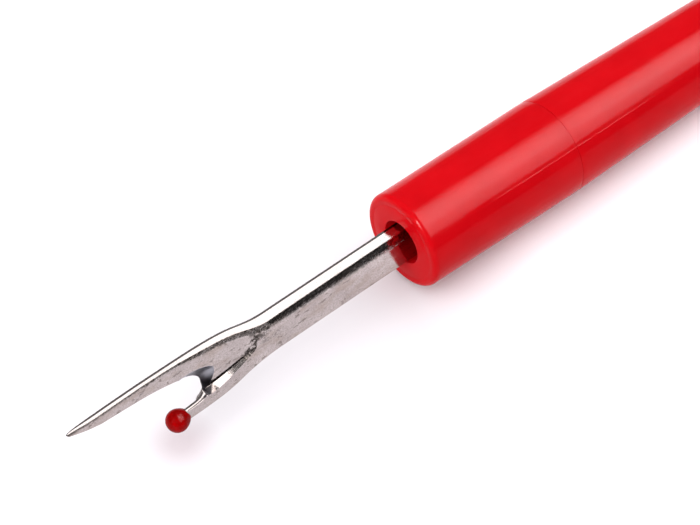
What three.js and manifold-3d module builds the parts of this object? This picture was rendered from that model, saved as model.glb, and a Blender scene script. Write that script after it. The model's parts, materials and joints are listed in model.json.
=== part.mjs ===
// A seam ripper: a forked, nickel-plated steel blade with a red bead on its short tine,
// held in a red plastic handle. All sizes are in millimetres.
//
// The tool is drawn along its own axis: the handle's front face is at x = 0, the tail
// points to +X and the blade to -X. The whole tool is then laid down on z = 0, where it
// rests on the widest ring of the handle and on the tail.

import * as THREE from 'three';
import { mergeVertices } from 'three/addons/utils/BufferGeometryUtils.js';
import Module from 'manifold-3d';

const wasm = await Module();
wasm.setup();

// Handle
const FACE_RADIUS = 5.9;
const FACE_ROUNDING = 0.7;
const RING_RADIUS = 6.06;
const NOSE_LENGTH = 22.3;
const TAIL_RADIUS = 4.7;
const HANDLE_LENGTH = 90;
const TAIL_DOME_LENGTH = 4;
const BORE_RADIUS = 2.7;
const FRONT_WALL = 8;
const SPIGOT_RADIUS = 4.5;
const CORE_RADIUS = 3.7;
const JOINT_GAP = 0.12;
const GAP = 0.3;

// Blade, measured from the front face (s, towards the tip) and from the shank's middle (h, up)
const BLADE_THICKNESS = 2.0;
const WEB_THICKNESS = 0.8;
const SHANK_WIDTH = 4.1;
const TANG_LENGTH = 30;
const SHANK_END = 19;
const SPINE_HEIGHT = 3.37;
const HEEL_HEIGHT = -3.42;
const CROTCH = 28.4;
const SHORT_TINE_END = 33;
const SHORT_TINE_TOP = -2.25;
const TIP = 45.2;
const RECESS_START = 21.6;
const RECESS_END_HEIGHT = 0.6;
const RAMP_START = 20;
const RAMP_KNEE = { s: 22.3, depth: 0.5 };
const RAMP_END = 29;
const BLADE_ROLL = THREE.MathUtils.degToRad(13.7);
const BLADE_YAW = THREE.MathUtils.degToRad(0.85);
const BLADE_PITCH = THREE.MathUtils.degToRad(0.35);

// Bead, with a pocket for the tenon at the end of the short tine
const BEAD_RADIUS = 1.32;
const BEAD_CENTRE = { s: 33.0, h: -3.11, forward: 0.4 };
const BEAD_NECK = [[0.8, 1.1], [1.4, 0.75], [1.7, 0]];
const TENON = { start: 31.2, end: 32.2, thickness: 0.8, height: 0.6 };
const TENON_GAP = 0.15;

// Sleeve that holds the tang
const SLEEVE_RADIUS = CORE_RADIUS - GAP;
const SLOT_GAP = 0.2;
const SLEEVE_START = FRONT_WALL + 2 * GAP;
const SLEEVE_END = TANG_LENGTH - 1;
const CORE_END = TANG_LENGTH + 2 * GAP;

const ROUND_SEGMENTS = 48;
const BEAD_SEGMENTS = 24;
const CURVE_STEPS = 8;

const material = (color, roughness, metalness) =>
  new THREE.MeshStandardMaterial({ color, roughness, metalness });

const redPlastic = material(0xd60a12, 0.22, 0);
const redBead = material(0xa80a10, 0.12, 0);
const nickel = material(0xb9b4b2, 0.3, 1);
const sleevePlastic = material(0x8e1216, 0.5, 0);

// Joins and cuts work on closed solids whose corners are shared.
function solid(geometry) {
  const bare = geometry.clone();
  bare.deleteAttribute('normal');
  bare.deleteAttribute('uv');
  const merged = mergeVertices(bare, 1e-4);
  return new wasm.Manifold(new wasm.Mesh({
    numProp: 3,
    vertProperties: new Float32Array(merged.attributes.position.array),
    triVerts: new Uint32Array(merged.index.array),
  }));
}

function geometryOf(manifold) {
  const mesh = manifold.getMesh();
  const geometry = new THREE.BufferGeometry();
  geometry.setAttribute('position', new THREE.BufferAttribute(new Float32Array(mesh.vertProperties), 3));
  geometry.setIndex(new THREE.BufferAttribute(new Uint32Array(mesh.triVerts), 1));
  geometry.computeVertexNormals();
  return geometry;
}

// A turned shape about the X axis, from a profile of (x, radius) pairs. Half a step of
// turn puts a flat of the polygon, not a corner, underneath.
function turned(profile, segments = ROUND_SEGMENTS) {
  const points = profile.map(([x, radius]) => new THREE.Vector2(radius, x));
  const geometry = new THREE.LatheGeometry(points, segments, Math.PI / segments);
  return geometry.rotateZ(-Math.PI / 2);
}

// Points along a quarter of an ellipse between two directions from its centre.
function quarter(centreX, centreRadius, reachX, reachRadius, from, to, steps = CURVE_STEPS) {
  return Array.from({ length: steps + 1 }, (_, i) => {
    const angle = THREE.MathUtils.lerp(from, to, i / steps);
    return [centreX + reachX * Math.cos(angle), centreRadius + reachRadius * Math.sin(angle)];
  });
}

// The front moulding: a collar with a flat front face, pierced by the round bore that the
// shank passes through, and hollow behind its front wall to take the barrel's spigot.
function handleNose() {
  const socket = SPIGOT_RADIUS + GAP;
  const rear = NOSE_LENGTH - JOINT_GAP;
  const rim = quarter(
    FACE_ROUNDING, FACE_RADIUS - FACE_ROUNDING, FACE_ROUNDING, FACE_ROUNDING, Math.PI, Math.PI / 2, 4,
  );
  return turned([
    [0, BORE_RADIUS],
    ...rim,
    [rear, RING_RADIUS],
    [rear, socket],
    [FRONT_WALL, socket],
    [FRONT_WALL, BORE_RADIUS],
    [0, BORE_RADIUS],
  ]);
}

// The rear moulding: a spigot in front, then the tapering barrel with its domed tail.
// A blind core along the axis holds the tang's sleeve.
function handleBarrel() {
  const domeStart = HANDLE_LENGTH - TAIL_DOME_LENGTH;
  const dome = quarter(domeStart, 0, TAIL_DOME_LENGTH, TAIL_RADIUS, Math.PI / 2, 0);
  return turned([
    [CORE_END, 0],
    [CORE_END, CORE_RADIUS],
    [FRONT_WALL + GAP, CORE_RADIUS],
    [FRONT_WALL + GAP, SPIGOT_RADIUS],
    [NOSE_LENGTH, SPIGOT_RADIUS],
    [NOSE_LENGTH, RING_RADIUS],
    ...dome.slice(0, -1),
    [HANDLE_LENGTH, 0],
  ]);
}

// The blade's frame: x runs back along the shank, z up its height and -y out of its front
// face. Everything drawn in (s, h) is extruded between two depths n, counted forwards from
// the middle of the thickness.
function plate(outline, fromDepth, toDepth) {
  const geometry = new THREE.ExtrudeGeometry(outline, {
    depth: toDepth - fromDepth,
    bevelEnabled: false,
    curveSegments: CURVE_STEPS,
  });
  geometry.translate(0, 0, fromDepth);
  return geometry.rotateX(Math.PI / 2);
}

// The fork's outline: spine and heel swell smoothly out of the shank, the long tine runs
// to a blunt tip and the crotch between the tines is a hook that leans to the short tine.
function bladeOutline() {
  const half = SHANK_WIDTH / 2;
  const shape = new THREE.Shape();
  shape.moveTo(TANG_LENGTH, half);
  shape.lineTo(TANG_LENGTH, -half);
  shape.lineTo(-SHANK_END, -half);
  shape.bezierCurveTo(-22.7, -2.08, -24.6, HEEL_HEIGHT, -29, HEEL_HEIGHT);
  shape.lineTo(-SHORT_TINE_END, HEEL_HEIGHT);
  shape.lineTo(-SHORT_TINE_END, SHORT_TINE_TOP);
  shape.lineTo(-31.9, SHORT_TINE_TOP);
  shape.bezierCurveTo(-30.4, -2.22, -29.0, SHORT_TINE_TOP, -CROTCH, -1.3);
  shape.bezierCurveTo(-28.36, -0.35, -29.5, 0.6, -31.35, 1.2);
  shape.bezierCurveTo(-33.5, 1.8, -37.5, 1.95, -41.4, 2.12);
  shape.bezierCurveTo(-42.8, 2.3, -44, 2.5, -45.05, 2.7);
  shape.lineTo(-TIP, 2.85);
  shape.bezierCurveTo(-44.6, 3.25, -38, SPINE_HEIGHT + 0.06, -30.5, SPINE_HEIGHT);
  shape.bezierCurveTo(-25.2, SPINE_HEIGHT, -23.2, half + 0.1, -SHANK_END, half);
  shape.closePath();
  return shape;
}

// Where the blade is stamped hollow: everything above the inner side of the short tine, and
// past the crotch only the long tine.
function recessOutline() {
  const beyond = TIP + 1;
  const above = SPINE_HEIGHT + 1;
  const shape = new THREE.Shape();
  shape.moveTo(-SHANK_END, RECESS_END_HEIGHT);
  shape.lineTo(-RECESS_START, RECESS_END_HEIGHT);
  shape.bezierCurveTo(-21.5, -0.3, -22.6, -0.55, -24.3, -1.12);
  shape.bezierCurveTo(-26.3, -1.8, -28.1, -2.2, -29.1, -1.93);
  shape.lineTo(-30, 0);
  shape.lineTo(-beyond, 0);
  shape.lineTo(-beyond, above);
  shape.lineTo(-SHANK_END, above);
  shape.closePath();
  return shape;
}

// Seen from above, the hollow falls from the shank's front face in a ramp and then runs on
// at one depth to the tip.
function rampCutter() {
  const front = BLADE_THICKNESS / 2;
  const floor = WEB_THICKNESS - front;
  const beyond = TIP + 2;
  const height = 4 * SPINE_HEIGHT;
  const side = new THREE.Shape();
  side.moveTo(-RAMP_START, front);
  side.lineTo(-RAMP_KNEE.s, RAMP_KNEE.depth);
  side.lineTo(-RAMP_END, floor);
  side.lineTo(-beyond, floor);
  side.lineTo(-beyond, front + 1);
  side.lineTo(-RAMP_START, front + 1);
  side.closePath();
  const geometry = new THREE.ExtrudeGeometry(side, { depth: height, bevelEnabled: false });
  // This side view's second axis is the depth n, which points to -y in the blade's frame.
  geometry.rotateX(Math.PI);
  return geometry.translate(0, 0, height / 2);
}

// The square tenon at the end of the short tine, on the bead's centre, grown by a margin.
function tenon(margin) {
  const length = TENON.end - TENON.start + margin;
  const block = new THREE.BoxGeometry(2 * length, TENON.thickness + 2 * margin, TENON.height + 2 * margin);
  return block.translate(-TENON.start, -BEAD_CENTRE.forward, BEAD_CENTRE.h);
}

// Everything of the short tine past its shoulder, apart from the tenon.
function shoulderCutter() {
  const reach = 4;
  const block = new THREE.BoxGeometry(reach, 2 * BLADE_THICKNESS, reach);
  block.translate(-TENON.start - reach / 2, 0, BEAD_CENTRE.h);
  return solid(block).subtract(solid(tenon(0)));
}

function blade() {
  const front = BLADE_THICKNESS / 2;
  const hollow = solid(plate(recessOutline(), -front, front + 1)).intersect(solid(rampCutter()));
  const fork = solid(plate(bladeOutline(), -front, front)).subtract(hollow);
  return geometryOf(fork.subtract(shoulderCutter()));
}

// The bead is a short drop, drawn out towards the tine, with a pocket for the tenon.
function beadTip() {
  const drop = turned([
    [-BEAD_RADIUS, 0],
    ...quarter(0, 0, BEAD_RADIUS, BEAD_RADIUS, Math.PI, Math.PI / 2).slice(1),
    ...BEAD_NECK,
  ], BEAD_SEGMENTS);
  drop.translate(-BEAD_CENTRE.s, -BEAD_CENTRE.forward, BEAD_CENTRE.h);
  return geometryOf(solid(drop).subtract(solid(tenon(TENON_GAP))));
}

// How the blade sits in the handle: rolled a little about the axis, and a touch off it.
function bladePlacement() {
  return new THREE.Euler(-BLADE_ROLL, -BLADE_PITCH, BLADE_YAW, 'ZYX');
}

// A plain plug round the tang, with a slot in line with the blade.
function tangSleeve() {
  const body = turned([
    [SLEEVE_START, 0],
    [SLEEVE_START, SLEEVE_RADIUS],
    [SLEEVE_END, SLEEVE_RADIUS],
    [SLEEVE_END, 0],
  ]);
  const slot = new THREE.BoxGeometry(
    2 * HANDLE_LENGTH, BLADE_THICKNESS + 2 * SLOT_GAP, SHANK_WIDTH + 2 * SLOT_GAP,
  );
  slot.applyMatrix4(new THREE.Matrix4().makeRotationFromEuler(bladePlacement()));
  return geometryOf(solid(body).subtract(solid(slot)));
}

function piece(name, geometry, finish) {
  const mesh = new THREE.Mesh(geometry, finish);
  mesh.name = name;
  return mesh;
}

function buildTool() {
  const tool = new THREE.Group();
  tool.add(piece('handle_nose', handleNose(), redPlastic));
  tool.add(piece('handle_barrel', handleBarrel(), redPlastic));
  tool.add(piece('tang_sleeve', tangSleeve(), sleevePlastic));

  const fork = new THREE.Group();
  fork.rotation.copy(bladePlacement());
  fork.add(piece('blade', blade(), nickel));
  fork.add(piece('ball_tip', beadTip(), redBead));
  tool.add(fork);
  return tool;
}

// Lays the tool down: the axis tilts until ring and tail touch the surface together, and
// the origin goes to the middle of the footprint.
function layDown(tool) {
  const flat = Math.cos(Math.PI / ROUND_SEGMENTS);
  const run = HANDLE_LENGTH - TAIL_DOME_LENGTH - NOSE_LENGTH;
  tool.rotation.y = Math.atan(flat * (RING_RADIUS - TAIL_RADIUS) / run);
  const part = new THREE.Group();
  part.add(tool);
  part.updateMatrixWorld(true);
  const box = new THREE.Box3().setFromObject(tool, true);
  const middle = box.getCenter(new THREE.Vector3());
  tool.position.set(-middle.x, -middle.y, -box.min.z);
  return part;
}

export default layDown(buildTool());
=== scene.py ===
import json
import math

import bpy
import numpy as np
from mathutils import Matrix, Vector
from mathutils.geometry import delaunay_2d_cdt

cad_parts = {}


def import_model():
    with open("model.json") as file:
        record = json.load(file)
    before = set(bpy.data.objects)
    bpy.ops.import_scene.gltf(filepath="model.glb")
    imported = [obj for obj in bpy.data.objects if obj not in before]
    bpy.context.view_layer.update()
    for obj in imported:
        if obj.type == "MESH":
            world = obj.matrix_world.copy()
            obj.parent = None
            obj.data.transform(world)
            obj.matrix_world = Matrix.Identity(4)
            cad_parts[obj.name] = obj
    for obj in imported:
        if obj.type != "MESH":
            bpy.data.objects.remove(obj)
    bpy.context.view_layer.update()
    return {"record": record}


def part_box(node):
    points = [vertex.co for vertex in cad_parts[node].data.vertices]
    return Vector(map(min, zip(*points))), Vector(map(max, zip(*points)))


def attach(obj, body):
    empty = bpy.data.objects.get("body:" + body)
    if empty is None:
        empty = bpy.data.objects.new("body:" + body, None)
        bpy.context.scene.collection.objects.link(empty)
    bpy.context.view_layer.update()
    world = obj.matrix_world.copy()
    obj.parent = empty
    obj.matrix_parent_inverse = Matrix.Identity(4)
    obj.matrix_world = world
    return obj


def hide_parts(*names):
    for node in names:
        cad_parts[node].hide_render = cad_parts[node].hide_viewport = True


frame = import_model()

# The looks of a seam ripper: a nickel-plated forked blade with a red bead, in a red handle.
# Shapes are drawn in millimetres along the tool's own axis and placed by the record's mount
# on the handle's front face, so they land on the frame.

MM = 0.001

# Handle: distances along its axis are from the front face. The mount on that face is off the
# axis by MOUNT_RADIUS.
MOUNT_RADIUS = 4.2
FACE_RADIUS = 5.9
FACE_ROUNDING = 0.7
FACE_LANDING = 0.05
BORE_RADIUS = 2.7
BORE_EDGE = 0.12
BORE_MARGIN = 0.01
FRONT_WALL = 8.0
RING_RADIUS = 6.06
NOSE_LENGTH = 22.3
GROOVE_WIDTH = 0.03
GROOVE_DEPTH = 0.035
# The two mould seams. They rise behind the rim and wear off further back; SEAM_STEPS are
# places across one, in seam widths.
SEAM_ANGLE = math.radians(310)
SEAM_HEIGHT = 0.02
SEAM_WIDTH = 0.07
SEAM_RISES = (7.0, 13.0)
SEAM_WEARS = (30.0, 36.0)
SEAM_WORN = 0.75
SEAM_STEPS = (-2.0, -1.2, -0.6, 0.0, 0.6, 1.2, 2.0)
TAIL_RADIUS = 4.7
HANDLE_LENGTH = 90.0
TAIL_DOME_LENGTH = 4.0
SPIGOT_RADIUS = 4.5
CORE_RADIUS = 3.7
CORE_END = 30.6
GAP = 0.3

# Blade: s runs from the front face to the tip, h up from the shank's middle, n out of the
# hollowed face from the middle of the thickness.
HALF_THICK = 1.0
HALF_WIDTH = 2.05
TANG_LENGTH = 30.0
SHANK_END = 19.0
TIP = (45.2, 2.85)
SHORT_TINE_END = 31.9
HOLLOW_START = (21.6, 0.6)
CROTCH_TOP = (31.35, 1.2)
BEVEL_CORNER = (28.75, -1.78)
BLADE_ROLL = math.radians(13.7)
BLADE_YAW = math.radians(0.85)
BLADE_PITCH = math.radians(0.35)

# Bead
BEAD_RADIUS = 1.32
BEAD_CENTRE = Vector((33.0, -3.11, 0.4))
BEAD_NECK = 0.3

# Sleeve round the tang, with room for the tang in its slot
SLEEVE_END = TANG_LENGTH - 1.0
SLOT_GAP = 0.2

# Fineness of the turned shapes
ROUND_STEPS = 160
SMALL_STEPS = 96
ALONG_STEP = 1.0
DOME_STEPS = 16

# Camera, in the tool's own axes: what it looks at and from how far, in millimetres
CAMERA_TARGET = Vector((-5.44, 2.41, -1.51))
CAMERA_AZIMUTH = math.radians(-40.2)
CAMERA_ELEVATION = math.radians(49.5)
CAMERA_DISTANCE = 279.3
CAMERA_LENS = 128.6
CAMERA_SENSOR = 36.0

# Studio, in metres. The floor's painted shades start and are full at the two distances of their
# fades. The softboxes' fades are (place, share) pairs across their height, and the room's
# brightness changes between the two values of Y in ROOM_TURN.
FLOOR_HALF = 1.5
SHADE_CENTRE = (-0.052, 0.0, 0.0)
SHADE_FADE = (0.045, 0.028)
BEAD_SHADE_FADE = (0.0046, 0.001)
OVERHEAD_LEVEL = 1.75
FILL_LEVEL = 2.75
SOFTBOX_LEVEL = 28.0
STEEL_SOFTBOX_LEVEL = 4.4
RIM_LEVEL = 80.0
SHEET_LEVEL = 2.7
SOFTBOX_X = 0.33
SOFTBOX_DISTANCE = 0.6
SOFTBOX_LEAN = math.radians(22.75)
STEEL_SOFTBOX_LEAN = math.radians(25.0)
SOFTBOX_FADE = (
    (0, 0), (0.12, 0.35), (0.21, 0.65), (0.3, 0.8), (0.44, 0.97), (0.52, 1.0),
    (0.59, 0.92), (0.67, 0.72), (0.75, 0.62), (0.84, 0.53), (1, 0.42),
)
STEEL_SOFTBOX_FADE = ((0, 1), (0.6, 1.0), (0.78, 0.2), (1, 0.15))
ROOM_IN_FRONT = 0.05
ROOM_BEHIND = 0.2
ROOM_TURN = (-0.25, 0.35)

# Colours
BLACK = (0.0, 0.0, 0.0, 1)
WHITE = (1, 1, 1, 1)
HANDLE_DEEP = (0.41, 0.0015, 0.004, 1)
HANDLE_LIGHT = (0.455, 0.0022, 0.005, 1)
HANDLE_FLECK = (0.40, 0.0, 0.001, 1)
# Painted glow in the bore and on the sleeve, standing for light through the red plastic
PAINTED_BORE_GLOW = (0.17, 0.0, 0.0008, 1)
BEAD_DEEP = (0.17, 0.0, 0.0, 1)
BEAD_LIGHT = (0.27, 0.0, 0.0005, 1)
SLEEVE_DEEP = (0.20, 0.004, 0.008, 1)
SLEEVE_LIGHT = (0.30, 0.008, 0.014, 1)
NICKEL_DULL = (0.46, 0.412, 0.40, 1)
NICKEL_BRIGHT = (0.55, 0.495, 0.48, 1)
NICKEL_GRAIN = (0.31, 0.265, 0.255, 1)
NICKEL_PIT = (0.15, 0.12, 0.11, 1)
NICKEL_SCRATCH = (0.30, 0.26, 0.25, 1)
NICKEL_STAIN = (0.33, 0.265, 0.225, 1)
NICKEL_FLECK = (0.16, 0.13, 0.115, 1)
# Dark of dirt, of painted shade under the spine and of the painted dark bands on the blade
NICKEL_GRIME_AND_SHADE = (0.06, 0.05, 0.045, 1)
STEEL_BURR = (0.018, 0.015, 0.015, 1)
# Ground steel of the crotch's bevel, and its painted shade towards the bottom
CUT_STEEL = (0.34, 0.34, 0.375, 1)
CUT_STEEL_PAINTED_SHADE = (0.03, 0.026, 0.032, 1)
PAPER_DULL = (0.88, 0.865, 0.90, 1)
PAPER_BRIGHT = (0.90, 0.885, 0.92, 1)
# Painted shade on the floor under the blade, and a painted shadow under the bead
PAINTED_FLOOR_SHADE = (0.69, 0.665, 0.695, 1)
PAINTED_BEAD_SHADOW = (0.56, 0.50, 0.53, 1)


def tool_placement():
    """Places millimetres along the tool's axis in the frame, from the front face's mount."""
    mount = next(m for m in frame["record"]["mounts"] if m["name"] == "front_face")
    along = -Vector(mount["axis"]).normalized()
    side = Vector((0.0, 1.0, 0.0))
    up = along.cross(side).normalized()
    centre = Vector(mount["pos_m"]) - up * MOUNT_RADIUS * MM
    turn = Matrix((along, side, up)).transposed().to_4x4()
    return Matrix.Translation(centre) @ turn @ Matrix.Scale(MM, 4)


TOOL = tool_placement()
FORK = (TOOL @ Matrix.Rotation(BLADE_YAW, 4, "Z") @ Matrix.Rotation(-BLADE_PITCH, 4, "Y")
        @ Matrix.Rotation(-BLADE_ROLL, 4, "X"))


# --- shapes -------------------------------------------------------------------------------

def bezier(start, pull_a, pull_b, end, steps):
    """Points along a cubic, without its last one, so that stretches can be chained."""
    points = []
    for i in range(steps):
        t = i / steps
        weights = ((1 - t) ** 3, 3 * t * (1 - t) ** 2, 3 * t * t * (1 - t), t ** 3)
        corners = (start, pull_a, pull_b, end)
        points.append(tuple(sum(w * c[k] for w, c in zip(weights, corners)) for k in (0, 1)))
    return points


def arc(centre, radius, start, end, steps):
    """Points (x, r) along a circle's arc, both ends included; angles in degrees."""
    angles = np.radians(np.linspace(start, end, steps + 1))
    return [(centre[0] + radius * math.cos(a), centre[1] + radius * math.sin(a)) for a in angles]


def new_piece(name, verts, faces, placement, node, material, smooth_angle=35):
    """A mesh object placed in the frame, standing for one CAD node."""
    mesh = bpy.data.meshes.new(name)
    mesh.from_pydata([tuple(placement @ Vector(v)) for v in verts], [], faces)
    mesh.update()
    piece = bpy.data.objects.new(name, mesh)
    bpy.context.collection.objects.link(piece)
    for polygon in mesh.polygons:
        polygon.use_smooth = True
    mesh.set_sharp_from_angle(angle=math.radians(smooth_angle))
    mesh.materials.append(material)
    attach(piece, "root")
    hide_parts(node)
    return piece


def turned(profile, angles=None, ridge=None, closed=False):
    """Vertices and faces of a shape turned about X, from (x, r) pairs. A pair with r = 0
    becomes a single pole, a closed profile joins its last pair to its first, and ridge(x, r,
    angle) stands the surface proud."""
    if angles is None:
        angles = np.linspace(0, 2 * math.pi, ROUND_STEPS, endpoint=False)
    steps = len(angles)
    verts, rings = [], []
    for x, r in profile:
        if r < 1e-6:
            rings.append([len(verts)] * steps)
            verts.append((x, 0.0, 0.0))
            continue
        rings.append([len(verts) + i for i in range(steps)])
        for angle in angles:
            reach = r + (ridge(x, r, angle) if ridge else 0.0)
            verts.append((x, reach * math.sin(angle), reach * math.cos(angle)))
    pairs = list(zip(rings, rings[1:])) + ([(rings[-1], rings[0])] if closed else [])
    faces = []
    for a, b in pairs:
        for i in range(steps):
            j = (i + 1) % steps
            corners = []
            for v in (a[i], a[j], b[j], b[i]):
                if v not in corners:
                    corners.append(v)
            if len(corners) > 2:
                faces.append(tuple(reversed(corners)))
    return verts, faces


def seam_angles():
    """Even steps round the handle, with finer ones across the two mould seams."""
    angles = list(np.linspace(0, 2 * math.pi, ROUND_STEPS, endpoint=False))
    for seam in (SEAM_ANGLE, SEAM_ANGLE - math.pi):
        for offset in SEAM_STEPS:
            angles.append(seam + offset * SEAM_WIDTH / RING_RADIUS)
    return sorted(angles)


def seam_ridge(x, r, angle):
    """The fine line left where the mould halves met, worn away towards the ends."""
    if r < TAIL_RADIUS - 1:
        return 0.0
    across = math.sin(angle - SEAM_ANGLE) * r / SEAM_WIDTH
    place = np.array(x)
    left = float(smooth(place, *SEAM_RISES) * (1 - SEAM_WORN * smooth(place, *SEAM_WEARS)))
    return SEAM_HEIGHT * left * math.exp(-across * across)


def along_line(start, end, step):
    """(x, r) pairs between two ends, so that a long straight side can carry fine shading."""
    count = max(1, round((end[0] - start[0]) / step))
    run, rise = end[0] - start[0], end[1] - start[1]
    return [(start[0] + run * i / count, start[1] + rise * i / count) for i in range(count)]


# --- materials ----------------------------------------------------------------------------

def add_node(tree, kind, **settings):
    """A new node with its settings."""
    node = tree.nodes.new(kind)
    for key, value in settings.items():
        setattr(node, key, value)
    return node


class Nodes:
    """A short way to wire a material's nodes."""

    def __init__(self, name):
        self.material = bpy.data.materials.new(name)
        self.material.use_nodes = True
        self.tree = self.material.node_tree
        self.shader = self.tree.nodes["Principled BSDF"]
        self.place = self.add("ShaderNodeTexCoord").outputs["Object"]

    def add(self, kind, **settings):
        return add_node(self.tree, kind, **settings)

    def feed(self, socket, value):
        """Links another node's output to a socket, or sets a plain value."""
        if hasattr(value, "is_linked"):
            self.tree.links.new(value, socket)
        else:
            socket.default_value = value

    def scaled(self, scale, turn=(0.0, 0.0, 0.0)):
        """Coordinates stretched by one factor per axis, for grain that runs one way."""
        node = self.add("ShaderNodeMapping")
        self.feed(node.inputs["Vector"], self.place)
        node.inputs["Scale"].default_value = scale
        node.inputs["Rotation"].default_value = turn
        return node.outputs["Vector"]

    def distance(self, spot):
        """How far each point is from a spot."""
        node = self.add("ShaderNodeVectorMath", operation="DISTANCE")
        self.feed(node.inputs[0], self.place)
        node.inputs[1].default_value = spot
        return node.outputs["Value"]

    def noise(self, scale, detail=3.0, roughness=0.5, vector=None):
        """Cloudy noise; the scale counts its clouds per metre."""
        node = self.add("ShaderNodeTexNoise")
        self.feed(node.inputs["Vector"], vector or self.place)
        node.inputs["Scale"].default_value = scale
        node.inputs["Detail"].default_value = detail
        node.inputs["Roughness"].default_value = roughness
        return node.outputs["Fac"]

    def ramp(self, value, low, high, at_low=0.0, at_high=1.0):
        """Carries the stretch from low to high over to at_low to at_high, and stops there."""
        node = self.add("ShaderNodeMapRange")
        self.feed(node.inputs["Value"], value)
        node.inputs["From Min"].default_value = low
        node.inputs["From Max"].default_value = high
        node.inputs["To Min"].default_value = at_low
        node.inputs["To Max"].default_value = at_high
        return node.outputs["Result"]

    def maths(self, operation, a, b):
        """One sum of two values."""
        node = self.add("ShaderNodeMath", operation=operation)
        self.feed(node.inputs[0], a)
        self.feed(node.inputs[1], b)
        return node.outputs[0]

    def mix(self, factor, a, b):
        """Colour a where the factor is 0, b where it is 1."""
        node = self.add("ShaderNodeMix", data_type="RGBA")
        self.feed(node.inputs[0], factor)
        self.feed(node.inputs[6], a)
        self.feed(node.inputs[7], b)
        return node.outputs[2]

    def attribute(self, name):
        """A value that the mesh's vertices carry."""
        return self.add("ShaderNodeAttribute", attribute_name=name).outputs["Fac"]

    def bump(self, height, strength, distance):
        """One more layer of relief on top of those before it."""
        node = self.add("ShaderNodeBump")
        node.inputs["Strength"].default_value = strength
        node.inputs["Distance"].default_value = distance
        self.feed(node.inputs["Height"], height)
        previous = self.shader.inputs["Normal"]
        if previous.is_linked:
            self.feed(node.inputs["Normal"], previous.links[0].from_socket)
        self.feed(previous, node.outputs["Normal"])

    def set(self, **values):
        """Feeds the shader's sockets, named with underscores for their spaces."""
        for key, value in values.items():
            self.feed(self.shader.inputs[key.replace("_", " ")], value)


def handle_plastic():
    """Glossy red plastic, a little cloudy and scuffed, with a painted glow inside the bore that stands
    for light through the red walls.
    """
    m = Nodes("handle_plastic")
    cloud = m.noise(220.0, detail=2.0)
    fleck = m.noise(5200.0, detail=2.0, roughness=0.7)
    base = m.mix(m.ramp(cloud, 0.3, 0.7), HANDLE_DEEP, HANDLE_LIGHT)
    m.set(Base_Color=m.mix(m.ramp(fleck, 0.68, 0.8, at_high=0.25), base, HANDLE_FLECK))
    scuff = m.noise(900.0, detail=4.0, roughness=0.6, vector=m.scaled((0.25, 1.0, 1.0)))
    m.set(Roughness=m.ramp(scuff, 0.4, 0.75, at_low=0.10, at_high=0.20))
    m.set(IOR=1.12, Subsurface_Weight=0.12, Subsurface_Scale=0.0012)
    m.set(Subsurface_Radius=(1.0, 0.12, 0.10))
    # Painted glow inside the bore, set by the vertices' depth attribute
    m.set(Emission_Color=m.mix(m.attribute("depth"), BLACK, PAINTED_BORE_GLOW), Emission_Strength=1.0)
    m.bump(m.noise(1400.0, detail=2.0), strength=0.08, distance=0.00002)
    m.bump(fleck, strength=0.10, distance=0.00001)
    return m.material


def bead_plastic():
    """Dark, translucent red plastic with soft swirls."""
    m = Nodes("bead_plastic")
    swirl = m.noise(900.0, detail=2.0)
    m.set(Base_Color=m.mix(m.ramp(swirl, 0.35, 0.7), BEAD_DEEP, BEAD_LIGHT))
    m.set(Roughness=m.ramp(m.noise(3000.0), 0.4, 0.7, at_low=0.18, at_high=0.28))
    m.set(IOR=1.13, Subsurface_Weight=0.25, Subsurface_Scale=0.0008)
    m.set(Subsurface_Radius=(1.0, 0.05, 0.05))
    m.bump(m.noise(1800.0, detail=1.0), strength=0.04, distance=0.00003)
    return m.material


def sleeve_plastic():
    """Dull red plastic, with a painted glow that stands for the light from the red walls round it."""
    m = Nodes("sleeve_plastic")
    m.set(Base_Color=m.mix(m.noise(1500.0), SLEEVE_DEEP, SLEEVE_LIGHT))
    m.set(Roughness=m.ramp(m.noise(2500.0), 0.3, 0.7, at_low=0.4, at_high=0.6))
    # Painted glow for the light from the red walls round the sleeve
    m.set(Emission_Color=PAINTED_BORE_GLOW, Emission_Strength=1.0)
    m.bump(m.noise(4000.0), strength=0.2, distance=0.00003)
    return m.material


def worn_nickel(m, face):
    """The plating's colour: cloudy and grainy, with pits, scratches, stains and dark flecks.
    The last two keep to the faces."""
    cloud = m.noise(420.0)
    grain = m.noise(7000.0, detail=4.0, roughness=0.7)
    specks = m.ramp(m.noise(5200.0, roughness=0.75), 0.60, 0.70)
    tilted = m.scaled((0.05, 1.0, 1.0), (0.0, math.radians(12), 0.0))
    scratch = m.noise(1500.0, detail=2.0, vector=tilted)
    tilted = m.scaled((0.3, 1.0, 1.0), (0.0, math.radians(-10), 0.0))
    stain = m.noise(900.0, detail=5.0, roughness=0.65, vector=tilted)
    flecks = m.noise(2400.0, roughness=0.6, vector=m.scaled((0.45, 1.0, 1.0)))
    stain = m.maths("MULTIPLY", face, m.ramp(stain, 0.47, 0.62, at_high=0.55))
    flecks = m.maths("MULTIPLY", face, m.ramp(flecks, 0.61, 0.67, at_high=0.75))
    colour = m.mix(m.ramp(cloud, 0.35, 0.7), NICKEL_DULL, NICKEL_BRIGHT)
    colour = m.mix(m.ramp(grain, 0.42, 0.62, at_high=0.75), colour, NICKEL_GRAIN)
    colour = m.mix(m.maths("MULTIPLY", specks, 0.8), colour, NICKEL_PIT)
    colour = m.mix(m.ramp(scratch, 0.62, 0.72, at_high=0.6), colour, NICKEL_SCRATCH)
    colour = m.mix(stain, colour, NICKEL_STAIN)
    colour = m.mix(flecks, colour, NICKEL_FLECK)
    return colour, grain, specks


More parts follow.
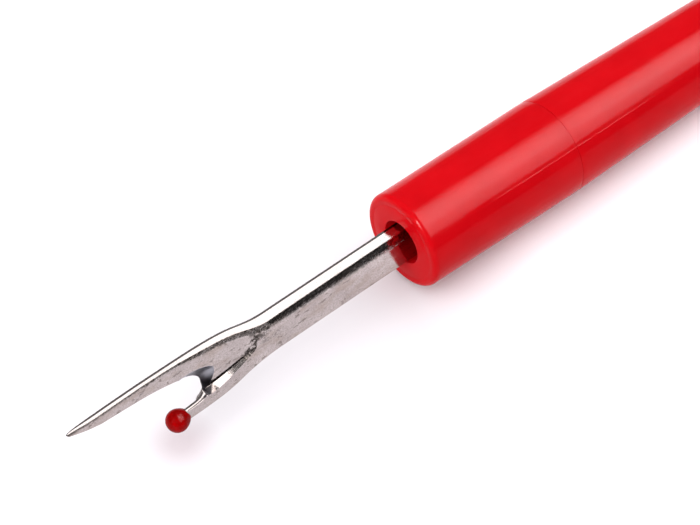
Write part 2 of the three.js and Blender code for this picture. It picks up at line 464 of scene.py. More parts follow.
def nickel_plate():
    """Worn nickel with the marks that the blade's vertices carry: dark burr along the sheared
    sides, bare steel where it is ground with painted shade towards its bottom, dirt with painted
    shade under the spine and along the shank, and a painted darkening along the spine's roll-off."""
    m = Nodes("nickel_steel")
    colour, grain, specks = worn_nickel(m, m.attribute("face"))
    grime_and_shade = m.attribute("grime_and_shade")
    is_ground = m.ramp(m.attribute("ground"), 0.45, 0.55)
    # Painted shade: the ground bevel darker towards its bottom
    cut_steel = m.mix(m.attribute("ground_shade"), CUT_STEEL, CUT_STEEL_PAINTED_SHADE)
    mottle = m.ramp(m.noise(2600.0, detail=4.0, roughness=0.7), 0.42, 0.56)
    # Dirt, and painted shade under the spine and along the shank, mottled
    dirt_and_shade = m.maths("MULTIPLY", grime_and_shade, mottle)
    # Painted darkening, in patches, along the spine's roll-off where it reflects dark
    patchy = m.ramp(m.noise(3400.0, detail=4.0, roughness=0.7), 0.40, 0.58, at_high=0.85)
    rolled = m.maths("MULTIPLY", m.attribute("roll"), patchy)
    colour = m.mix(m.ramp(m.attribute("burr"), 0.1, 0.9, at_high=0.95), colour, STEEL_BURR)
    colour = m.mix(is_ground, colour, cut_steel)
    m.set(Base_Color=m.mix(m.maths("MAXIMUM", dirt_and_shade, rolled), colour, NICKEL_GRIME_AND_SHADE))
    m.set(Metallic=1.0)
    drawn = m.noise(2600.0, detail=4.0, roughness=0.6, vector=m.scaled((0.12, 1.0, 1.0)))
    rough = m.ramp(drawn, 0.35, 0.7, at_low=0.07, at_high=0.15)
    rough = m.maths("ADD", rough, m.maths("MULTIPLY", dirt_and_shade, 0.35))
    m.set(Roughness=m.maths("ADD", rough, m.maths("MULTIPLY", is_ground, 0.3)))
    m.bump(drawn, strength=0.06, distance=0.00002)
    m.bump(grain, strength=0.22, distance=0.000012)
    m.bump(specks, strength=-0.25, distance=0.00001)
    m.bump(dirt_and_shade, strength=0.5, distance=0.00004)
    return m.material


# --- handle -------------------------------------------------------------------------------

def handle_nose(material):
    """The front moulding, with a softly rounded rim, a faint turned ring on its face and the
    round bore that the shank goes into."""
    ring_radius = 4.75
    ring_half = 0.09
    ring_depth = 0.025
    painted_glow_at_mouth = 0.3
    rear = NOSE_LENGTH - GROOVE_WIDTH / 2
    socket = SPIGOT_RADIUS + GAP
    profile = [(FRONT_WALL, BORE_RADIUS)]
    profile += arc((BORE_EDGE, BORE_RADIUS + BORE_EDGE), BORE_EDGE, 270, 180, 5)
    profile += [
        (0.0, ring_radius - ring_half),
        (ring_depth, ring_radius),
        (0.0, ring_radius + ring_half),
        (0.0, FACE_RADIUS - FACE_ROUNDING - FACE_LANDING),
    ]
    profile += arc((FACE_ROUNDING, FACE_RADIUS - FACE_ROUNDING), FACE_ROUNDING, 180, 90, 14)
    profile += along_line(profile[-1], (rear - GROOVE_DEPTH, RING_RADIUS), ALONG_STEP)[1:]
    profile += arc((rear - GROOVE_DEPTH, RING_RADIUS - GROOVE_DEPTH), GROOVE_DEPTH, 90, 0, 4)
    profile += [(rear, socket), (FRONT_WALL, socket)]
    verts, faces = turned(profile, seam_angles(), seam_ridge, closed=True)
    piece = new_piece("nose_moulding", verts, faces, TOOL, "handle_nose", material)
    # Painted glow inside the bore: fainter at its mouth, fullest at its far end
    depth = []
    for x, y, z in verts:
        in_bore = math.hypot(y, z) < BORE_RADIUS + BORE_MARGIN
        depth.append(painted_glow_at_mouth + (1 - painted_glow_at_mouth) * x / FRONT_WALL if in_bore else 0.0)
    layer = piece.data.attributes.new("depth", "FLOAT", "POINT")
    layer.data.foreach_set("value", depth)
    return piece


def handle_barrel(material):
    """The rear moulding: spigot, long taper and domed tail."""
    front = NOSE_LENGTH + GROOVE_WIDTH / 2
    dome_start = HANDLE_LENGTH - TAIL_DOME_LENGTH
    profile = [
        (CORE_END, 0.0),
        (CORE_END, CORE_RADIUS),
        (FRONT_WALL + GAP, CORE_RADIUS),
        (FRONT_WALL + GAP, SPIGOT_RADIUS),
        (front, SPIGOT_RADIUS),
    ]
    edge = 0.6 * GROOVE_DEPTH
    profile += arc((front + edge, RING_RADIUS - edge), edge, 180, 90, 4)
    profile += along_line(profile[-1], (dome_start, TAIL_RADIUS), ALONG_STEP)[1:]
    for i in range(DOME_STEPS + 1):
        angle = math.pi / 2 * i / DOME_STEPS
        x = dome_start + TAIL_DOME_LENGTH * math.sin(angle)
        profile.append((x, TAIL_RADIUS * math.cos(angle)))
    verts, faces = turned(profile, seam_angles(), seam_ridge)
    return new_piece("barrel_moulding", verts, faces, TOOL, "handle_barrel", material)



# --- blade --------------------------------------------------------------------------------

# What changes along the blade, as (s, value) pairs
FOOT_END = 28.45
WALL_WIDTHS = (
    (21.5, 0.03), (22.0, 0.075), (22.8, 0.163), (24.4, 0.231),
    (25.2, 0.267), (26.3, 0.31), (27.4, 0.34), (28.4, 0.27),
)
CROWN_REACH = ((0, 1.25), (17, 1.05), (21.5, 0.8), (28, 0.7), (31, 0.3), (45, 0.2))
CROWN_SLOPE = ((0, 0.29), (22, 0.32), (31, 0.30))
FLOOR_BY_WALL = (
    (21.6, 1.0), (22.0, 0.83), (22.8, 0.62), (24.4, 0.46), (25.2, 0.38),
    (26.3, 0.28), (27.4, 0.19), (28.5, 0.0), (31.0, -0.18),
)
FLOOR_BY_SPINE = (
    (18, 0.80), (19.3, 0.76), (20.4, 0.71), (21.6, 0.55), (22.8, 0.41), (24, 0.33),
    (25.1, 0.26), (26.3, 0.2), (27.5, 0.16), (28.6, 0.09), (29.7, -0.01), (30.8, -0.11),
    (33, -0.18), (35, -0.22), (41, -0.22), (42.8, -0.31), (43.9, -0.46), (45.2, -0.72),
)
BEVEL_EDGE_UPPER = ((28.4, -0.9), (29.0, -0.75), (29.6, -0.6), (30.3, -0.45), (31.35, -0.27))
BEVEL_EDGE_LOWER = ((28.4, -0.9), (28.5, -0.62), (28.6, -0.42), (28.8, -0.2))
BACK_RELIEF = (
    (28.4, 0), (28.5, 0.3), (28.6, 0.5), (28.8, 0.74), (29.0, 0.91),
    (29.5, 1.15), (30.3, 1.28), (SHORT_TINE_END, 1.35),
)
# Painted dark band: how far from the spine it lies along s
PAINTED_DARK_BAND = ((0, 1.1), (17, 0.9), (21, 0.7))


def cubics(step, start, *stretches):
    """Points along joined cubics, both ends included. A stretch is two pulls and an end."""
    points = []
    for pull_a, pull_b, end in stretches:
        count = max(2, round(math.dist(start, end) / step))
        points += bezier(start, pull_a, pull_b, end, count)
        start = end
    return points + [start]


def spine_curve(step):
    """The upper edge, from the shank's end round to the tip."""
    return cubics(step, (SHANK_END, HALF_WIDTH),
                  ((20.8, 2.05), (21.9, 2.42), (23.5, 2.80)),
                  ((25.0, 3.12), (27.0, 3.33), (30.5, 3.36)),
                  ((34.5, 3.42), (39.0, 3.42), (43.6, 3.19)),
                  ((44.7, 3.13), (45.1, 3.0), TIP))


def heel_curve(step):
    """The lower edge, from the shank's end to the end of the short tine."""
    return cubics(step, (SHANK_END, -HALF_WIDTH),
                  ((20.8, -2.08), (22.6, -2.32), (24.5, -2.82)),
                  ((26.0, -3.2), (27.6, -3.4), (SHORT_TINE_END, -3.42)))


def crotch_curve(step):
    """The hooked edge between the tines, from the short tine's end to the long tine."""
    return cubics(step, (SHORT_TINE_END, -2.25),
                  ((30.4, -2.22), (29.0, -2.25), (28.4, -1.3)),
                  ((28.36, -0.35), (29.5, 0.6), CROTCH_TOP))


def long_tine_curve(step):
    """The lower edge of the long tine, from the crotch to the blunt tip."""
    return cubics(step, CROTCH_TOP,
                  ((33.5, 1.8), (37.5, 1.95), (41.4, 2.12)),
                  ((42.8, 2.3), (44.0, 2.5), (45.05, 2.7)))


def wall_curve(step):
    """The short tine's inner edge on the front face: the top of the hollow's lower wall."""
    return cubics(step, HOLLOW_START,
                  ((21.5, -0.3), (22.6, -0.55), (24.3, -1.12)),
                  ((26.3, -1.8), (28.1, -2.2), (29.1, -1.93)))


def bevel_curve(step):
    """Where the ground bevel of the crotch starts on the hollow's floor."""
    return cubics(step, CROTCH_TOP,
                  ((29.9, 1.27), (27.3, 1.15), (27.08, 0.34)),
                  ((26.95, -0.36), (27.75, -1.5), BEVEL_CORNER))


def foot_curve(step):
    """The bottom of the hollow's sloping lower wall, as far as the bevel's corner."""
    line = np.array([p for p in wall_curve(step) if p[0] < FOOT_END])
    tangent = np.gradient(line, axis=0)
    normal = np.stack([-tangent[:, 1], tangent[:, 0]], 1)
    normal /= np.linalg.norm(normal, axis=1)[:, None]
    width = read_off(line[:, 0], WALL_WIDTHS)
    return [tuple(p) for p in line + normal * width[:, None]] + [BEVEL_CORNER]


def nearest(points, line, closed=False):
    """For each point its distance to a chain of segments."""
    line = np.asarray(line)
    ends = np.roll(line, -1, axis=0) if closed else line[1:]
    starts = line if closed else line[:-1]
    best = np.full(len(points), np.inf)
    for a, b in zip(starts, ends):
        edge = b - a
        t = np.clip(((points - a) @ edge) / max(edge @ edge, 1e-12), 0, 1)
        gap = points - a - t[:, None] * edge
        best = np.minimum(best, np.hypot(gap[:, 0], gap[:, 1]))
    return best


def inside(points, ring):
    """Which points lie inside a closed ring."""
    ring = np.asarray(ring)
    within = np.zeros(len(points), bool)
    for (ax, ay), (bx, by) in zip(ring, np.roll(ring, -1, axis=0)):
        crosses = (ay > points[:, 1]) != (by > points[:, 1])
        if ay != by:
            within ^= crosses & (points[:, 0] < (bx - ax) * (points[:, 1] - ay) / (by - ay) + ax)
    return within


def read_off(value, pairs):
    """A value read off (place, value) pairs, with straight lines between them."""
    places, levels = zip(*pairs)
    return np.interp(value, places, levels)


def smooth(value, low, high):
    """Rises softly from 0 at low to 1 at high."""
    t = np.clip((value - low) / (high - low), 0, 1)
    return t * t * (3 - 2 * t)


def hump(value, middle, width):
    """A soft peak of height 1."""
    return np.exp(-((value - middle) / width) ** 2)


def eased(s, pairs):
    """Like read_off, with the corners of the broken line worn round."""
    spread = 0.45
    samples = 17
    offsets = np.linspace(-2 * spread, 2 * spread, samples)
    weights = np.exp(-0.5 * (offsets / spread) ** 2)
    total = sum(w * read_off(s + o, pairs) for w, o in zip(weights, offsets))
    return total / weights.sum()


def blade_outline(step):
    """The whole edge as one ring, with longer steps along the straight shank."""
    long_step = 4 * step
    top = [(s, HALF_WIDTH) for s in np.arange(-TANG_LENGTH, SHANK_END - step, long_step)]
    under = [(s, -HALF_WIDTH) for s in np.arange(SHANK_END - long_step, -TANG_LENGTH, -long_step)]
    fork = spine_curve(step) + long_tine_curve(step)[:0:-1]
    fork += crotch_curve(step)[::-1] + heel_curve(step)[::-1]
    return top + fork + under + [(-TANG_LENGTH, -HALF_WIDTH)]


class Plate:
    """The blade as two height fields over its outline: front and back depths at each point.
    Depths are heights n above the middle of the thickness."""

    STEP = 0.2
    SPINE_STEP = 0.5
    RIM = 0.07
    # Levels of the side's strips above the back edge, as (share of the burr's width, mark).
    BURR = 0.34
    BURR_LEVELS = ((1.3, 0.0), (1.05, 0.0), (0.95, 1.0))
    ON_LINE = 0.012
    ON_CREASE = 0.004
    THINNEST = 0.03
    # The share of the spine's roll-off that is an even slope.
    EVEN = 0.8
    # Where the spine's floor takes over from the wall's: near the spine, and past the crotch.
    NEAR_SPINE = (0.35, 1.7)
    PAST_CROTCH = (29.5, 32.5)
    # The crotch's ground edge ends at one height, and changes its course at another.
    GROUND_END = -1.8
    GROUND_TURN = -1.3
    # The back's relief is on the lower side, and starts later towards the outer edge.
    RELIEF_SIDE = (1.25, 1.6)
    RELIEF_LAG = 1.1
    RELIEF_OUTER = (2.3, 3.3)
    BACK_RIM = 0.5
    # Fades of the marks: off the outline, at both sides of the roll, and of the painted shade down the
    # ground bevel.
    EDGE_FADE = 0.06
    ROLL_START = (0.02, 0.1)
    ROLL_FADE = 0.12
    BEVEL_SHADE = (0.1, 1.3)
    # Stretches of the filling grid as (start, end, step), and how far off the edge it stays.
    STRETCHES = ((-TANG_LENGTH, 0.0, 1.0), (0.0, SHANK_END, 0.4), (SHANK_END, 45.5, 0.15))
    SPAN = 4.0
    ROW_HEIGHT = 0.87
    SHANK_CLEARANCE = 1.65
    FORK_CLEARANCE = 0.9
    LINE_CLEARANCE = 0.045
    # Rows that follow the edge. The last ones only fit in the shank.
    ROWS = (0.03, 0.08, 0.15, 0.24, 0.34, 0.45, 0.57, 0.7, 0.84, 0.98, 1.12, 1.26, 1.4, 1.54)
    LAST_FORK_ROW = 0.9
    ROW_SHARE = 0.93
    # Corners that close rings far outside the outline.
    ROUND_HOLLOW = [(50.0, 1.2), (50.0, 5.0), (17.0, 5.0), (17.0, 1.2), (19.5, 0.6)]
    ABOVE_WALL = [(40.0, 5.0), (18.0, 5.0)]

    def __init__(self):
        self.outline = blade_outline(self.STEP)
        shank = [(-TANG_LENGTH, HALF_WIDTH), (SHANK_END - 1, HALF_WIDTH)]
        self.spine = shank + spine_curve(self.SPINE_STEP)
        self.wall = wall_curve(self.STEP)
        self.foot = foot_curve(self.STEP)
        self.bevel = bevel_curve(self.STEP)
        self.ground_edge = [p for p in crotch_curve(self.STEP) if p[1] > self.GROUND_END]

    def scatter(self):
        """A triangular grid inside the outline, closer together in the fork."""
        points = []
        for start, end, step in self.STRETCHES:
            places = np.arange(start, end, step)
            for row, h in enumerate(np.arange(-self.SPAN, self.SPAN, step * self.ROW_HEIGHT)):
                points += [(s + (row % 2) * step / 2, h) for s in places]
        points = np.array(points)
        points = points[inside(points, self.outline)]
        in_shank = points[:, 0] < SHANK_END
        clearance = np.where(in_shank, self.SHANK_CLEARANCE, self.FORK_CLEARANCE)
        return points[nearest(points, self.outline, closed=True) > clearance]

    def edge_rows(self):
        """Rows that follow the edge, so that its rounding shades smoothly."""
        outline = np.array(self.outline)
        tangent = np.roll(outline, -1, axis=0) - np.roll(outline, 1, axis=0)
        normal = np.stack([tangent[:, 1], -tangent[:, 0]], 1)
        normal /= np.linalg.norm(normal, axis=1)[:, None]
        rows = []
        for depth in self.ROWS:
            row = outline + normal * depth
            if depth > self.LAST_FORK_ROW:
                row = row[row[:, 0] < SHANK_END]
            row = row[inside(row, self.outline)]
            clear = nearest(row, self.outline, closed=True) > self.ROW_SHARE * depth
            rows.append(row[clear])
        return rows

    def filling(self):
        """All the points inside the outline, off the narrow wall and the lines of the hollow."""
        points = np.vstack([self.scatter()] + self.edge_rows())
        points = points[~inside(points, self.wall + self.foot[::-1])]
        for line in (self.wall, self.foot, self.bevel):
            points = points[nearest(points, line) > self.LINE_CLEARANCE]
        return points

    def crown_size(self, s):
        """How far the roll-off along the spine reaches in, and how steep it is."""
        return read_off(s, CROWN_REACH), read_off(s, CROWN_SLOPE)

    def crown(self, points):
        """The roll-off along the spine, an even slope that eases into the flat."""
        reach, slope = self.crown_size(points[:, 0])
        edge = nearest(points, self.spine)
        even = self.EVEN * reach
        ease = reach - even
        rolled = slope * (even - edge) + 0.5 * slope * ease
        easing = 0.5 * slope * (reach - edge) ** 2 / ease
        return np.where(edge < even, rolled, np.where(edge < reach, easing, 0.0))

    def rim(self, points, edge):
        """The small rounding of every edge but the ground one."""
        t = np.clip(1 - edge / self.RIM, 0, 1)
        ground = nearest(points, self.ground_edge) < self.RIM
        return np.where(ground, 0.0, self.RIM * (1 - np.sqrt(np.clip(1 - t * t, 0, 1))))

    def floor_depth(self, points):
        """The front surface of the hollow: a ramp down from the shank, then a level floor. The
        ramp is short by the wall and long by the spine."""
        s = points[:, 0]
        low = eased(s, FLOOR_BY_WALL)
        reach, slope = self.crown_size(s)
        high = eased(s, FLOOR_BY_SPINE) + slope * reach * (1 + self.EVEN) / 2
        near_spine = 1 - smooth(nearest(points, self.spine), *self.NEAR_SPINE)
        near_spine = np.maximum(near_spine, smooth(s, *self.PAST_CROTCH))
        return low + (high - low) * near_spine

    def ground_level(self, points):
        """How deep the ground edge of the crotch lies: nearly at the back in the crotch's
        bottom, higher where it runs out along either tine."""
        s, h = points[:, 0], points[:, 1]
        upper = read_off(s, BEVEL_EDGE_UPPER)
        return np.where(h > self.GROUND_TURN, upper, read_off(s, BEVEL_EDGE_LOWER))

    def front_depth(self, points):
        """The front before its edges are rounded: the flat, the hollow and, round the crotch,
        the ground bevel, which slopes from the hollow's floor to the ground edge."""
        to_crotch = nearest(points, self.ground_edge)
        to_bevel = nearest(points, self.bevel)
        at_crotch = to_crotch < self.ON_LINE
        hollow = inside(points, self.wall + self.ground_edge + self.ROUND_HOLLOW) | at_crotch
        hollow &= nearest(points, self.wall) > self.ON_LINE
        ground = inside(points, self.bevel + self.ground_edge) | at_crotch
        ground &= to_bevel > self.ON_LINE
        floor = np.minimum(self.floor_depth(points), HALF_THICK)
        edge = self.ground_level(points)
        slope = edge + (floor - edge) * to_crotch / (to_crotch + to_bevel + 1e-6)
        return np.where(ground & hollow, slope, np.where(hollow, floor, HALF_THICK))

    def depths(self, points):
        """Front and back. The back of the short tine is ground away towards its end."""
        s, h = points[:, 0], points[:, 1]
        rim = self.rim(points, nearest(points, self.outline, closed=True))
        front = self.front_depth(points) - self.crown(points) - rim
        relief = read_off(s - self.RELIEF_LAG * smooth(-h, *self.RELIEF_OUTER), BACK_RELIEF)
        back = -HALF_THICK + relief * smooth(-h, *self.RELIEF_SIDE) + self.BACK_RIM * rim
        return front, np.minimum(back, front - self.THINNEST)

    def off_edge(self, points):
        """Zero at the outline and one a little way in, so that marks stay off the sides."""
        return smooth(nearest(points, self.outline, closed=True), 0.0, self.EDGE_FADE)

    def grime_and_shade(self, points):
        """Where the plating is rough and dark: dirt at the hollow's rounded end, in a patch on the
        ramp, in a worn mark across the long tine, in a streak before the hollow and in fine lines
        within it, painted shade under the spine, and a painted dark band along the shank below the
        spine's roll-off. Places are along s, levels along h, and the rest distances from the wall or
        the spine, all in millimetres."""
        s, h = points[:, 0], points[:, 1]
        to_wall = nearest(points, self.wall)
        to_spine = nearest(points, self.spine)
        hollow = inside(points, self.wall + self.ABOVE_WALL)
        end = (1 - smooth(to_wall, 0.6, 0.85)) * hollow
        end *= smooth(s, 20.7, 21.0) * (1 - smooth(s, 22.9, 23.7))
        patch = 0.8 * smooth(s, 19.2, 20.0) * (1 - smooth(s, 21.6, 22.6)) * smooth(h, 0.4, 0.8)
        wide = 0.75 - 0.35 * smooth(s, 28, 33)
        # Painted shade under the spine
        under = (1 - smooth(to_spine, wide / 3, wide)) * smooth(s, 21, 23)
        under *= 0.72 - 0.2 * smooth(s, 27, 30) + 0.3 * smooth(s, 38, 43)
        # Painted dark band along the shank, below the spine's roll-off
        low = read_off(s, PAINTED_DARK_BAND)
        band = smooth(to_spine, low - 0.5, low - 0.1) * (1 - smooth(to_spine, low, low + 0.25))
        band *= 0.45 * (s < 21) * (s > -3)
        mark = 0.8 * hump(s + 1.7 * (h - 2.55), 36.0, 0.13) * (s > 33)
        streak = 0.5 * smooth(s, 17.5, 18.5) * (1 - smooth(s, 20.5, 21.3)) * hump(h, 0.1, 0.3)
        fine_lines = 0.6 * hump(h, -0.25, 0.07) * (s > 23.2) * (s < 27.2)
        fine_lines += 0.6 * hump(h, 1.25, 0.07) * (s > 27.0) * (s < 28.6)
        marks = end + patch + under + band + mark + streak + fine_lines * hollow
        return np.clip(marks, 0, 1) * self.off_edge(points)

    def back_grime_and_shade(self, points):
        """A faint copy of the front's dirt and painted shade, and a patch where the short tine is
        ground away.
        """
        s, h = points[:, 0], points[:, 1]
        relieved = smooth(s, 28.0, 28.5) * (1 - smooth(s, 29.8, 30.8)) * smooth(-h, 1.1, 1.4)
        return np.maximum(0.3 * self.grime_and_shade(points), 0.8 * relieved * self.off_edge(points))

    def roll(self, points):
        """Where the roll-off is steepest, which is painted darker in patches to deepen the dark band
        that the slope reflects.
        """
        s = points[:, 0]
        even = self.EVEN * self.crown_size(s)[0]
        to_spine = nearest(points, self.spine)
        fade = self.ROLL_FADE
        band = smooth(to_spine, *self.ROLL_START) * (1 - smooth(to_spine, even - fade, even + fade))
        return band * (s > -TANG_LENGTH)

    def ground_area(self, points):
        """The fresh-cut steel of the crotch's bevel."""
        area = inside(points, self.bevel + self.ground_edge)
        area |= nearest(points, self.bevel + self.ground_edge) < self.ON_LINE
        return area.astype(float)

    def triangles(self):
        """The outline filled with triangles that have the lines of the hollow as edges: points
        (s, h), and faces that all turn the same way."""
        points, edges = [tuple(p) for p in self.filling()], []
        for chain in (self.outline, self.wall, self.foot, self.bevel):
            first = len(points)
            points += chain
            edges += [(first + i, first + i + 1) for i in range(len(chain) - 1)]
            if chain is self.outline:
                edges.append((len(points) - 1, first))
        cut = delaunay_2d_cdt([Vector(p) for p in points], edges, [], 0, 1e-5)
        flat = np.array([tuple(v) for v in cut[0]])
        faces = [tuple(f) for f in cut[2]]
        centres = np.array([flat[list(f)].mean(axis=0) for f in faces])
        faces = [f for f, keep in zip(faces, inside(centres, self.outline)) if keep]
        used = sorted({v for f in faces for v in f})
        renumber = {v: i for i, v in enumerate(used)}
        flat = flat[used]
        faces = [tuple(renumber[v] for v in f) for f in faces]
        turns = [np.cross(flat[b] - flat[a], flat[c] - flat[a]) for a, b, c in faces]
        return flat, [f if turn > 0 else f[::-1] for f, turn in zip(faces, turns)]

    def shell(self, flat, faces):
        """The front, the back and the sheared sides, which have a narrow strip of burr along
        the back edge: vertices, faces and how much burr each vertex has."""
        front, back = self.depths(flat)
        count = len(flat)
        verts = [(-s, -n, h) for (s, h), n in zip(flat, front)]
        verts += [(-s, -n, h) for (s, h), n in zip(flat, back)]
        burr = [0.0] * (2 * count)
        directed = {(a, b) for f in faces for a, b in zip(f, f[1:] + f[:1])}
        rim = [(a, b) for a, b in directed if (b, a) not in directed]
        strips = {}
        for v in {a for a, _ in rim}:
            (s, h), high, low = flat[v], front[v], back[v]
            width = min(self.BURR, 0.5 * (high - low))
            strips[v] = [v, len(verts), len(verts) + 1, len(verts) + 2, count + v]
            for share, mark in self.BURR_LEVELS:
                verts.append((-s, -(low + share * width), h))
                burr.append(mark)
            burr[count + v] = 1.0
        surface = [f[::-1] for f in faces]
        surface += [tuple(count + v for v in f) for f in faces]
        for a, b in rim:
            for k in range(len(self.BURR_LEVELS) + 1):
                surface.append((strips[a][k], strips[b][k], strips[b][k + 1], strips[a][k + 1]))
        return verts, surface, burr

    def marks(self, flat, verts, burr):
        """What each vertex tells the material: values for the front, the back and the sides."""
        none_on_back = np.zeros(len(flat))
        none_on_sides = np.zeros(len(verts) - 2 * len(flat))
        on_face = self.off_edge(flat)
        heights = np.array([h for _, _, h in verts])
        return {
            "grime_and_shade": np.concatenate([self.grime_and_shade(flat), self.back_grime_and_shade(flat), none_on_sides]),
            "burr": np.array(burr),
            "ground": np.concatenate([self.ground_area(flat), none_on_back, none_on_sides]),
            "ground_shade": smooth(-heights, *self.BEVEL_SHADE),
            "roll": np.concatenate([self.roll(flat), none_on_back, none_on_sides]),
            "face": np.concatenate([on_face, on_face, none_on_sides]),
        }

    def creases(self, flat, faces):
        """Mesh edges that lie along the hollow's lines, which stay sharp."""
        sharp = set()
        for line in (self.wall, self.foot, self.bevel):
            on = nearest(flat, line) < self.ON_CREASE
            for face in faces:
                for a, b in zip(face, face[1:] + face[:1]):
                    if on[a] and on[b]:
                        sharp.add((min(a, b), max(a, b)))
        return sharp


def blade(material):
    """The plated fork with its shank and tang."""
    plate = Plate()
    flat, triangles = plate.triangles()
    verts, faces, burr = plate.shell(flat, triangles)
    piece = new_piece("forked_blade", verts, faces, FORK, "blade", material,
                      smooth_angle=28)
    sharp = plate.creases(flat, triangles)
    for edge in piece.data.edges:
        if tuple(sorted(edge.vertices)) in sharp:
            edge.use_edge_sharp = True
    for name, values in plate.marks(flat, verts, burr).items():
        layer = piece.data.attributes.new(name, "FLOAT", "POINT")
        layer.data.foreach_set("value", values.astype(np.float32))
    return piece


# --- small pieces -------------------------------------------------------------------------

def bead(material):
    """The bead: nearly round, drawn out a little on the side of the tine."""
    profile = []
    steps = 48
    neck_start = 0.3
    for i in range(steps + 1):
        angle = math.pi * i / steps
        x = -BEAD_RADIUS * math.cos(angle)
        drawn = max(0.0, (x / BEAD_RADIUS - neck_start) / (1 - neck_start))
        radius = BEAD_RADIUS * max(0.0, math.sin(angle))
        profile.append((x + BEAD_NECK * drawn * drawn, radius))
    verts, faces = turned(profile, np.linspace(0, 2 * math.pi, SMALL_STEPS, endpoint=False))
    centre = Vector((-BEAD_CENTRE.x, -BEAD_CENTRE.z, BEAD_CENTRE.y))
    place = FORK @ Matrix.Translation(centre)
    return new_piece("tine_bead", verts, faces, place, "ball_tip", material,
                     smooth_angle=60)


def tang_sleeve(material):
    """The plug round the tang: a slotted cylinder, deep in the bore. The slot leans with the
    blade, so its middle drifts off the axis along the tang."""
    radius = CORE_RADIUS - GAP
    start, end = FRONT_WALL + 2 * GAP, SLEEVE_END
    half_w, half_t = HALF_WIDTH + SLOT_GAP, HALF_THICK + SLOT_GAP
    roll = Matrix.Rotation(-BLADE_ROLL, 2)
    drift = Vector((math.tan(BLADE_YAW), math.tan(BLADE_PITCH) / math.cos(BLADE_YAW)))
    angles = np.linspace(0, 2 * math.pi, SMALL_STEPS, endpoint=False)
    outer = [Vector((math.sin(a), math.cos(a))) * radius for a in angles]
    slot = []
    for spoke in outer:
        local = roll.transposed() @ spoke
        reach = min(half_t / max(abs(local.x), 1e-9), half_w / max(abs(local.y), 1e-9))
        slot.append(roll @ (local * reach))
    verts, faces = [], []
    for x, ring, shift in ((start, outer, 0), (end, outer, 0), (end, slot, end), (start, slot, start)):
        verts += [(x, *(point + drift * shift)) for point in ring]
    for k in range(4):
        a, b = k * SMALL_STEPS, (k + 1) % 4 * SMALL_STEPS
        for i in range(SMALL_STEPS):
            j = (i + 1) % SMALL_STEPS
            faces.append((a + i, b + i, b + j, a + j))
    return new_piece("tang_plug", verts, faces, TOOL, "tang_sleeve", material)


# --- studio -------------------------------------------------------------------------------

def camera():
    """The camera looks down at the tool from beyond its tip, on the hollowed side."""
    level = math.cos(CAMERA_ELEVATION)
    back = Vector((math.sin(CAMERA_AZIMUTH) * level, -math.cos(CAMERA_AZIMUTH) * level,
                   math.sin(CAMERA_ELEVATION)))
    right = Vector((math.cos(CAMERA_AZIMUTH), math.sin(CAMERA_AZIMUTH), 0.0))
    turn = Matrix((right, back.cross(right), back)).transposed().to_4x4()
    data = bpy.data.cameras.new("camera")
    data.lens = CAMERA_LENS
    data.sensor_width = CAMERA_SENSOR
    data.clip_start = 0.01
    data.clip_end = 50.0
    view = bpy.data.objects.new("camera", data)
    bpy.context.collection.objects.link(view)
    in_metres = TOOL @ Matrix.Scale(1 / MM, 4)
    place = in_metres.to_3x3().to_4x4() @ turn
    place.translation = TOOL @ (CAMERA_TARGET + back * CAMERA_DISTANCE)
    view.matrix_world = place
    bpy.context.scene.camera = view


def floor():
    """A great white sheet of paper, with painted shade: a little greyer in a soft round patch under
    the blade, and darkest in a small painted shadow under the bead."""
    half = FLOOR_HALF
    corners = [(-half, -half, 0), (half, -half, 0), (half, half, 0), (-half, half, 0)]
    mesh = bpy.data.meshes.new("floor")
    mesh.from_pydata(corners, [], [(0, 1, 2, 3)])
    plane = bpy.data.objects.new("floor", mesh)
    bpy.context.collection.objects.link(plane)
    low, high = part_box("ball_tip")
    bead_shadow_spot = ((low[0] + high[0]) / 2, (low[1] + high[1]) / 2, 0.0)
    m = Nodes("floor_paper")
    colour = m.mix(m.noise(3.0), PAPER_DULL, PAPER_BRIGHT)
    # Painted shade under the blade, then a painted shadow under the bead
    colour = m.mix(m.ramp(m.distance(SHADE_CENTRE), *SHADE_FADE), colour, PAINTED_FLOOR_SHADE)
    colour = m.mix(m.ramp(m.distance(bead_shadow_spot), *BEAD_SHADE_FADE), colour, PAINTED_BEAD_SHADOW)
    m.set(Base_Color=colour, Roughness=0.9, Specular_IOR_Level=0.1)
    mesh.materials.append(m.material)


def panel(name, place, aim, size, level, seen_in=None):
    """A rectangular soft light that points at a spot, of an even brightness. With seen_in it
    shows only in the reflections of those pieces, otherwise it only lights."""
    data = bpy.data.lights.new(name, "AREA")
    data.shape = "RECTANGLE"
    data.size, data.size_y = size
    data.energy = level * math.pi * size[0] * size[1]
    light = bpy.data.objects.new(name, data)
    bpy.context.collection.objects.link(light)
    toward = (Vector(aim) - Vector(place)).normalized()
    along = Vector((1.0, 0.0, 0.0))
    up = toward.cross(along).normalized()
    turn = Matrix((up.cross(-toward), up, -toward)).transposed().to_4x4()
    light.matrix_world = Matrix.Translation(place) @ turn
    light.visible_glossy = seen_in is not None
    light.visible_diffuse = seen_in is None
    if seen_in is not None:
        group = bpy.data.collections.new(name + "_receivers")
        for piece in seen_in:
            group.objects.link(piece)
        light.light_linking.receiver_collection = group
    return light


def fade(light, stops):
    """Makes a panel's brightness vary across its height: stops are (place, share) pairs."""
    light.data.use_nodes = True
    tree = light.data.node_tree
    emission = tree.nodes["Emission"]
    place = add_node(tree, "ShaderNodeNewGeometry").outputs["Parametric"]
    parts = add_node(tree, "ShaderNodeSeparateXYZ")
    curve = add_node(tree, "ShaderNodeFloatCurve")
    tree.links.new(place, parts.inputs[0])
    tree.links.new(parts.outputs["Y"], curve.inputs["Value"])
    line = curve.mapping.curves[0]
    line.points[0].location = stops[0]
    line.points[1].location = stops[-1]
    for stop in stops[1:-1]:
        line.points.new(*stop)
    curve.mapping.update()
    tree.links.new(curve.outputs["Value"], emission.inputs["Strength"])


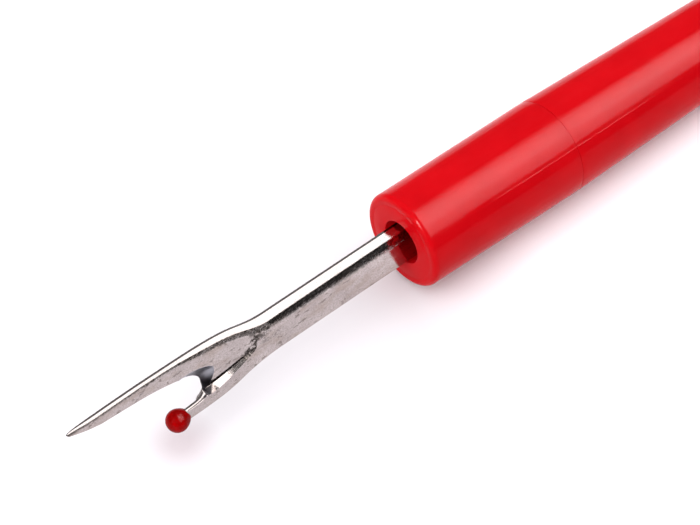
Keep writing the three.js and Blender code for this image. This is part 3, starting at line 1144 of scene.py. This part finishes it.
def world():
    """Plain white to the eye, a dim room in reflections, darker in front than behind."""
    scene_world = bpy.data.worlds.new("studio")
    bpy.context.scene.world = scene_world
    scene_world.use_nodes = True
    scene_world.cycles_visibility.diffuse = False
    tree = scene_world.node_tree
    background = tree.nodes["Background"]
    direction = add_node(tree, "ShaderNodeTexCoord").outputs["Generated"]
    parts = add_node(tree, "ShaderNodeSeparateXYZ")
    tree.links.new(direction, parts.inputs[0])
    level = add_node(tree, "ShaderNodeMapRange")
    tree.links.new(parts.outputs["Y"], level.inputs["Value"])
    level.inputs["From Min"].default_value, level.inputs["From Max"].default_value = ROOM_TURN
    level.inputs["To Min"].default_value = ROOM_IN_FRONT
    level.inputs["To Max"].default_value = ROOM_BEHIND
    seen = add_node(tree, "ShaderNodeLightPath").outputs["Is Camera Ray"]
    pick = add_node(tree, "ShaderNodeMix", data_type="FLOAT")
    tree.links.new(seen, pick.inputs[0])
    tree.links.new(level.outputs[0], pick.inputs[2])
    pick.inputs[3].default_value = 1.0
    tree.links.new(pick.outputs[0], background.inputs["Strength"])
    background.inputs["Color"].default_value = WHITE


def softbox(name, lean, size, level, stops, seen_in):
    """A large panel, tilted forward, that fades and shows only in some pieces."""
    aim = Vector((SOFTBOX_X, 0.0, 0.0))
    away = Vector((0.0, -math.sin(lean), math.cos(lean)))
    light = panel(name, aim + SOFTBOX_DISTANCE * away, aim, size, level, seen_in)
    fade(light, stops)


def lights(handle_pieces, bead_pieces, steel_pieces):
    """A great sheet overhead and a fill beyond the tip light everything. The other lights are
    only reflections: a softbox as the band along the handle and the bead's highlight, a small
    one on the rim of the nose, a softbox in the blade's hollowed face and a sheet in the
    blade's upper side."""
    centre = Vector((0.0, 0.0, 0.0))
    almost_centre = Vector((0.0, 0.001, 0.0))
    blade_root = Vector((-0.02, 0.0, 0.0))
    above = Vector((0.0, 0.0, 1.2))
    beyond_tip = Vector((-1.3, 0.0, 0.6))
    before_nose = Vector((-0.55, -0.1, 0.32))
    behind = Vector((0.2, 0.55, 0.35))
    panel("overhead", above, almost_centre, (5.0, 5.0), OVERHEAD_LEVEL)
    panel("fill", beyond_tip, centre, (2.0, 1.2), FILL_LEVEL)
    softbox("softbox", SOFTBOX_LEAN, (0.72, 0.83), SOFTBOX_LEVEL, SOFTBOX_FADE,
            handle_pieces + bead_pieces)
    panel("rim_light", before_nose, centre, (0.3, 0.15), RIM_LEVEL, handle_pieces)
    softbox("softbox_on_steel", STEEL_SOFTBOX_LEAN, (0.9, 0.97), STEEL_SOFTBOX_LEVEL,
            STEEL_SOFTBOX_FADE, steel_pieces)
    panel("sheet", behind, blade_root, (1.6, 0.75), SHEET_LEVEL, steel_pieces)


camera()
world()
floor()
bpy.context.scene.view_settings.view_transform = "Standard"
red = handle_plastic()
nose = handle_nose(red)
barrel = handle_barrel(red)
fork = blade(nickel_plate())
tip = bead(bead_plastic())
tang_sleeve(sleeve_plastic())
lights([nose, barrel], [tip], [fork])
